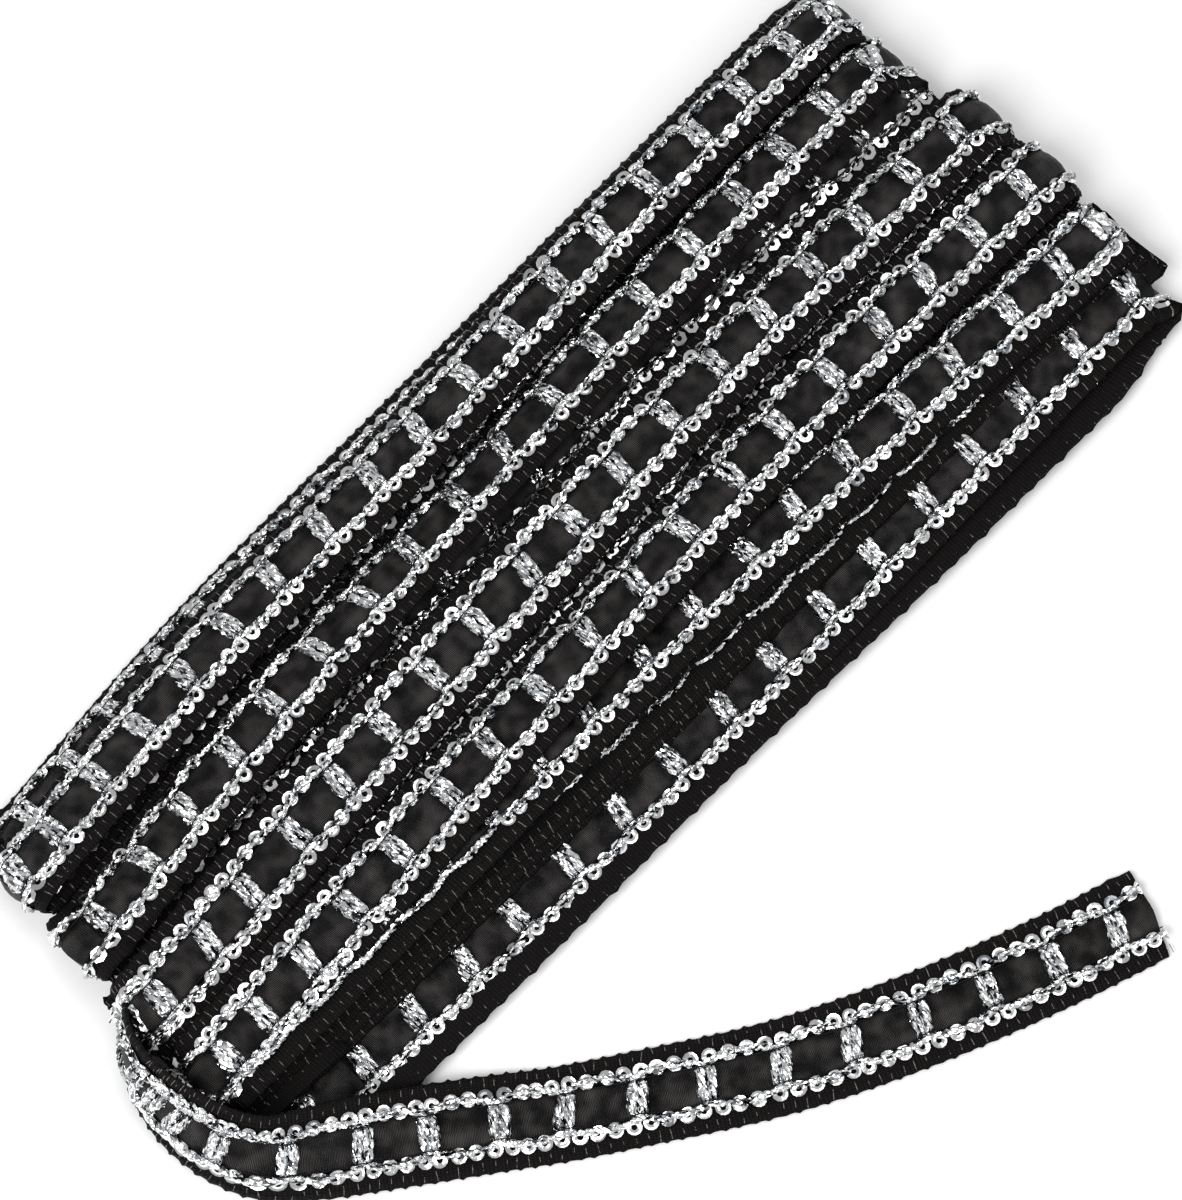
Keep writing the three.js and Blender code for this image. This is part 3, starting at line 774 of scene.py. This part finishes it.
def buildBars(piece, line, middles, full):
    # two bundles of twisted metallic yarn side by side, over the ribbon at each repeat
    steps, sides, yarns = bars["shown" if full else "plain"]
    count = len(middles)
    if not count:
        return
    reach = bars["reach"]
    a = np.linspace(-1, 1, steps) * reach
    ends = np.clip((np.abs(a) - bars["endFrom"]) / (reach - bars["endFrom"]), 0, 1)
    wide = bars["twistRadius"] * (1 - bars["pinch"] * ends)
    crown = bars["height"] + bars["arch"] * (1 - (a / reach) ** 2) if full else bars["pressed"]
    slant, lift = rng.normal(*bars["slant"], count), rng.normal(*bars["lift"], count)
    s, across, h, seeds = [], [], [], []
    for side in (-1, 1):
        bow, sway = rng.normal(*bars["bow"], count), rng.normal(*bars["sway"], count)
        start = rng.uniform(0, 2 * math.pi, count)
        for yarn in range(yarns):
            phase = start[:, None] + 2 * math.pi * (yarn / yarns + bars["twists"] * (a / reach + 1) / 2)
            centre = middles[:, None] + side * (bars["spread"] - bow[:, None] * (a / reach) ** 2)
            centre = centre + sway[:, None] * np.sin(math.pi * a / reach)
            s.append(centre + slant[:, None] * a / reach + wide * np.cos(phase))
            h.append(crown + lift[:, None] - bars["dive"] * ends ** 2
                     + bars["twistFlat"] * wide * np.sin(phase))
            across.append(np.broadcast_to(a, phase.shape))
            seeds.append(rng.uniform(0, 1, count))
    s, across, h = (np.concatenate(v) for v in (s, across, h))
    s = s + rng.normal(0, bars["roughness"][0], s.shape)
    h = h + rng.normal(0, bars["roughness"][1], h.shape)
    thick = 1 - bars["thin"] * np.clip(np.abs(across) - bars["thinFrom"], 0, 1)
    tubes(piece, line, s, across, h, bars["yarnRadius"] * thick, bars["yarnFlat"] * bars["yarnRadius"] * thick,
          sides, seed=np.concatenate(seeds))


sideCord = {
    "near": 4.6,          # from the middle line, beside a bar
    "bow": 1.4,           # how far it bows out in a window
    "height": 1.35,
    "rise": 0.75,         # over the sequins in a window
    "steep": 0.8,         # power of the bow
    "wander": 0.12,       # how far it strays, and the radians of that a mm
    "wanderTurn": 0.61,
    "roughness": 0.05,
    "yarnRadius": 0.58,
    "yarnFlat": 0.9,
    "twistRadius": 0.48,
    "twistFlat": 0.8,
    "twistPitch": 3.4,
    "steps": 24,
    "plainSteps": 10,
    "sides": 5,
    "plainSides": 4,
}


def buildCords(piece, line, s, u, full):
    # a two-ply metallic cord along each side, holding the sequins' inner halves down
    twist, yarn = sideCord["twistRadius"], sideCord["yarnRadius"]
    for side in (-1, 1):
        wander = sideCord["wander"] * np.sin(s * sideCord["wanderTurn"] + line["seed"] + side)
        bow = outward(u) ** sideCord["steep"]
        a = side * (sideCord["near"] + sideCord["bow"] * bow + wander)
        h = sideCord["height"] + sideCord["rise"] * bow
        for ply in (0, math.pi):
            if line["closed"]:
                turns = round(line["length"] / sideCord["twistPitch"])
                phase = 2 * math.pi * turns * s / line["length"] + ply + side
            else:
                phase = 2 * math.pi * s / sideCord["twistPitch"] + ply + side
            rough = rng.normal(0, sideCord["roughness"], (2, len(s)))
            plyA = a + twist * np.cos(phase) + rough[0]
            plyH = h + sideCord["twistFlat"] * twist * np.sin(phase) + rough[1]
            tubes(piece, line, s[None], plyA[None], plyH[None], yarn, sideCord["yarnFlat"] * yarn,
                  sideCord["sides" if full else "plainSides"], line["closed"])


sequin = {
    "row": 6.15,          # from the middle line
    "perRepeat": 4,
    "height": 1.3,
    # radius, height: round the ring's section, from the underside out and back in over the cupped face
    "section": [(0.7, 0.0), (1.85, 0.0), (1.85, 0.1), (1.32, 0.03), (0.7, 0.13)],
    "plainSection": [(0.7, 0.0), (1.85, 0.0), (1.85, 0.1), (0.7, 0.1)],
    "points": 12,
    "plainPoints": 7,
    # how far they are out at random
    "along": 0.22,
    "across": 0.12,
    "lift": 0.25,
    "tilt": 0.16,         # slope, and the fall and rise that it may give
    "tiltLimits": (-0.4, 0.6),
}


def buildSequins(piece, line, starts, stops, full, side):
    # flat rings with a raised lip round the hole, four to a repeat along a side
    share = (np.arange(sequin["perRepeat"]) + 0.5) / sequin["perRepeat"]
    middles = (starts[:, None] + share * (stops - starts)[:, None]).ravel()
    n = len(middles)
    if not n:
        return
    section = np.array(sequin["section" if full else "plainSection"])
    angle = np.linspace(0, 2 * math.pi, sequin["points" if full else "plainPoints"], endpoint=False)
    centreA = side * sequin["row"] + rng.normal(0, sequin["across"], n)
    centreS = middles + rng.normal(0, sequin["along"], n)
    tiltS, tiltA = rng.normal(0, sequin["tilt"], (2, n))
    lift = rng.uniform(0, sequin["lift"], n)
    ds = np.cos(angle)[:, None] * section[:, 0]
    da = np.sin(angle)[:, None] * section[:, 0]
    s, a = centreS[:, None, None] + ds, centreA[:, None, None] + da
    h = (sequin["height"] + lift[:, None, None] + section[:, 1]
         + np.clip(tiltS[:, None, None] * ds + tiltA[:, None, None] * da, *sequin["tiltLimits"]))
    seed = rng.uniform(0, 1, n)[:, None, None] + 0 * s
    gather(piece, placeOn(line, s, a, h), np.stack([s, a, seed], -1), closedAlong=True)


stitch = {
    "row": 3.95,
    "radius": 0.14,
    "overBar": 2.45,
    "inWindow": 1.35,
    "barShare": 0.17,     # of a repeat, to each side of a bar, where the thread stays up
    "outward": 0.35,      # how far it moves out past that
    "steps": 12,
    "plainSteps": 6,
}


def buildStitches(piece, line, s, u):
    # a black thread along each side that crosses the ends of the bars
    for side in (-1, 1):
        over = np.exp(-(np.minimum(u, 1 - u) / stitch["barShare"]) ** 4)
        h = stitch["inWindow"] + (stitch["overBar"] - stitch["inWindow"]) * over
        a = side * (stitch["row"] + stitch["outward"] * (1 - over))
        tubes(piece, line, s[None], a[None], h[None], stitch["radius"], stitch["radius"],
              closedAlong=line["closed"])


weft = {
    "shares": [0.03, 0.19, 0.36, 0.53, 0.69, 0.86],
    "from": 8.3,
    "to": 10.9,
    "shortest": 0.4,      # the least of that length that shows, the rest dives into the weave
    "halfWidth": 0.1,
    "halfHeight": 0.09,
    "over": 0.06,         # the face of the braid
    "overBack": 0.03,
    "edge": 0.2,          # how near to the edge of the back it turns up, and how far
    "along": 0.18,        # how far they are out at random
    "skew": 0.12,         # slope about the row's middle, random
    "middle": 9.6,
    "drop": (-0.08, 0.06),
}


def buildWefts(piece, line, starts, stops, sides=(-1, 1), back=False):
    # thin grey wefts that show as short bars across the selvages
    share = np.array(weft["shares"])
    middles = (starts[:, None] + share * (stops - starts)[:, None]).ravel()
    n, room = len(middles), weft["to"] - weft["from"]
    for side in sides:
        size = rng.uniform(weft["shortest"], 1, n)[:, None] * room
        a = weft["from"] + rng.uniform(0, 1, n)[:, None] * (room - size) + size * [0, 0.5, 1]
        s = (middles[:, None] + rng.normal(0, weft["along"], n)[:, None]
             + rng.normal(0, weft["skew"], n)[:, None] * (a - weft["middle"]))
        if back:
            h = np.where(a > braid["backEdge"] - weft["edge"], weft["edge"], -weft["overBack"])
        else:
            h = np.interp(a, *zip(*braid["face"])) + weft["over"]
        h = h + rng.uniform(*weft["drop"], n)[:, None]
        tubes(piece, line, s, side * a, h, weft["halfWidth"], weft["halfHeight"])


def buildTrim(group, line, at, plain=False, sides=(-1, 1)):
    # one length of trim with everything on it; the cells out of sight are built with fewer points
    starts, stops = at[:-1], at[1:]
    low, high = line["top"]
    shown = np.array([not plain and start < high and stop > low for start, stop in zip(starts, stops)])

    def samples(item):
        counts = np.where(shown, item["steps"], item["plainSteps"])
        s, u = cellSamples(at, counts, line["closed"])
        if line["closed"]:
            return s, u
        gapLow, gapHigh = at[0], line["length"] - at[-1]
        before = np.linspace(0, gapLow, max(2, int(gapLow / trim["endStep"])), endpoint=False)
        after = np.linspace(at[-1], line["length"], max(2, int(gapHigh / trim["endStep"])))[1:]
        return (np.concatenate([before, s, after]),
                np.concatenate([1 - (gapLow - before) / trim["repeat"], u, (after - at[-1]) / trim["repeat"]]))

    s, u = samples(braid)
    buildBraid(group + "_braid", line, s)
    s, u = samples(ribbon)
    buildRibbon(group + "_ribbon", line, s, u)
    middles = at[:-1] if line["closed"] else at
    barShown = np.append(shown, shown[-1])[:len(middles)]
    buildBars(group + "_bars", line, middles[barShown], True)
    buildBars(group + "_bars", line, middles[~barShown], False)
    s, u = samples(sideCord)
    buildCords(group + "_side_cords", line, s, u, not plain)
    if not line["closed"]:
        # the part repeats at both ends
        starts = np.concatenate([[at[0] - trim["repeat"]], starts, [at[-1]]])
        stops = np.concatenate([[at[0]], stops, [at[-1] + trim["repeat"]]])
        shown = np.concatenate([[shown[0]], shown, [shown[-1]]])
    for side in sides:
        there = stops > (line.get("bareTo", 0) if side < 0 else 0)
        for full, chosen in ((True, shown & there), (False, ~shown & there)):
            buildSequins(group + "_sequins", line, starts[chosen], stops[chosen], full, side)
    if not plain:
        s, u = samples(stitch)
        buildStitches(group + "_stitches", line, s, u)
        buildWefts(group + "_wefts", line, starts[shown], stops[shown], sides)
        if line.get("backShows"):
            buildWefts(group + "_wefts", line, starts[~shown], stops[~shown], (-1,), back=True)


# radians, so that no two turns waver alike
seeds = {"outer": 1.7, "inner": 2.3, "loose": 0.4}
lengths = {"outer": 0, "inner": 0, "loose": 0}
for number, (name, run) in enumerate(topRuns.items()):
    line = runLine(run, bottomRuns[run["bottom"]] if "bottom" in run else None)
    line["seed"], line["backShows"] = number * seeds["outer"], run.get("slack")
    if "bareTo" in run:
        line["bareTo"] = np.interp(run["bareTo"], *line["xToS"])
    buildTrim("outer", line, barsOn(line, run["bars"]))
    lengths["outer"] += line["length"]
    print(name, "wound,", round(line["length"]), "mm")

for number, run in enumerate(innerRuns.values()):
    line = runLine(run)
    line["seed"] = number * seeds["inner"]
    xs = np.arange(run["phase"] - 2 * trim["repeat"], run["to"] - hank["barInset"][1], trim["repeat"])
    at = barsOn(line, xs[xs > run["from"] + hank["barInset"][0]])
    lengths["inner"] += line["length"]
    if "edge" in run:
        s = cellSamples(at, np.full(len(at) - 1, braid["plainSteps"]), False)[0]
        buildBraid("inner_braid", line, np.concatenate([[0.0], s, [line["length"]]]))
        buildWefts("inner_wefts", line, at[:-1], at[1:], (run["edge"],))
    else:
        buildTrim("inner", line, at, plain=True, sides=run.get("sequins", (-1, 1)))
        buildWefts("inner_wefts", line, at[:-1], at[1:])
print("inner turns wound,", round(lengths["inner"]), "mm")

line = looseLine()
line["seed"] = seeds["loose"]
at = np.array([line["s"][np.argmin(np.hypot(*(line["mid"][:, :2] - point).T))] for point in looseBars])
at = np.concatenate([at[0] - trim["repeat"] * np.arange(int(at[0] / trim["repeat"]), 0, -1), at])
buildTrim("loose", line, at)
lengths["loose"] = line["length"]
print("loose end laid,", round(lengths["loose"]), "mm")


# piece: its material, its slot and whether it is smooth
kinds = {
    "braid": ("braid", "braid", True),
    "ribbon": ("ribbon", "ribbon", True),
    "bars": ("bars", "silver_yarn", False),
    "side_cords": ("cords", "silver_yarn", False),
    "sequins": ("sequin", "sequin", False),
    "stitches": ("stitch", "braid", True),
    "wefts": ("weft", "braid", True),
}


def makeObject(name, store):
    kind = name.split("_", 1)[1]
    material, slot, soft = kinds[kind]
    mesh = bpy.data.meshes.new(name)
    faces = [face for rows in store["faces"] for face in rows.tolist()]
    mesh.from_pydata(np.concatenate(store["points"]).tolist(), [], faces)
    attribute = mesh.attributes.new("trimPlace", "FLOAT_VECTOR", "POINT")
    attribute.data.foreach_set("vector", np.concatenate(store["place"]).astype(np.float32).ravel())
    mesh.polygons.foreach_set("use_smooth", np.full(len(faces), soft))
    mesh.materials.append(materials[material])
    mesh.update()
    made = bpy.data.objects.new(name, mesh)
    bpy.context.scene.collection.objects.link(made)
    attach(made, "root")
    triangles = sum(len(face) - 2 for face in faces)
    print(name, triangles, "triangles")
    return made, triangles


objects, total = {}, 0
for name, store in pieces.items():
    objects[name], triangles = makeObject(name, store)
    total += triangles
print("all pieces,", total, "triangles")

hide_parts("hank")
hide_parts("loose_end_braid")
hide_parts("loose_end_ribbon")


studio = {
    "floorSide": 12.0,
    "floorDrop": 0.1,     # mm under the trim, so that the two never share a plane
    "floorColour": "#f4f4f4",
    "worldColour": "#ffffff",
    "worldStrength": 0.4,
    # where, size in metres, watts: a key from the left, one overhead and one in front
    "softboxes": [
        ((-1.0, -0.15, 1.15), 0.95, 19.0),
        ((0.45, 0.4, 1.45), 1.1, 6.0),
        ((0.2, -1.2, 0.9), 0.9, 5.0),
    ],
}


def addStudio():
    side = studio["floorSide"] / 2
    mesh = bpy.data.meshes.new("studio_floor")
    drop = -studio["floorDrop"] * mm
    mesh.from_pydata([(-side, -side, drop), (side, -side, drop), (side, side, drop), (-side, side, drop)],
                     [], [(0, 1, 2, 3)])
    floor = bpy.data.objects.new("studio_floor", mesh)
    bpy.context.scene.collection.objects.link(floor)
    material, tree = newMaterial("matt paper, white")
    finishMaterial(tree, {"Base Color": linear(studio["floorColour"]), "Roughness": 0.9})
    mesh.materials.append(material)
    world = bpy.data.worlds.new("studio")
    world.use_nodes = True
    background = world.node_tree.nodes["Background"]
    background.inputs["Color"].default_value = linear(studio["worldColour"])
    background.inputs["Strength"].default_value = studio["worldStrength"]
    bpy.context.scene.world = world
    for number, (where, size, watts) in enumerate(studio["softboxes"]):
        light = bpy.data.lights.new(f"softbox{number}", "AREA")
        light.size = size
        light.energy = watts
        lamp = bpy.data.objects.new(f"softbox{number}", light)
        lamp.location = where
        lamp.rotation_mode = "QUATERNION"
        lamp.rotation_quaternion = (-Vector(where)).to_track_quat("-Z", "Y")
        bpy.context.scene.collection.objects.link(lamp)
    bpy.context.scene.view_settings.view_transform = "Standard"


addStudio()
print("studio lit")
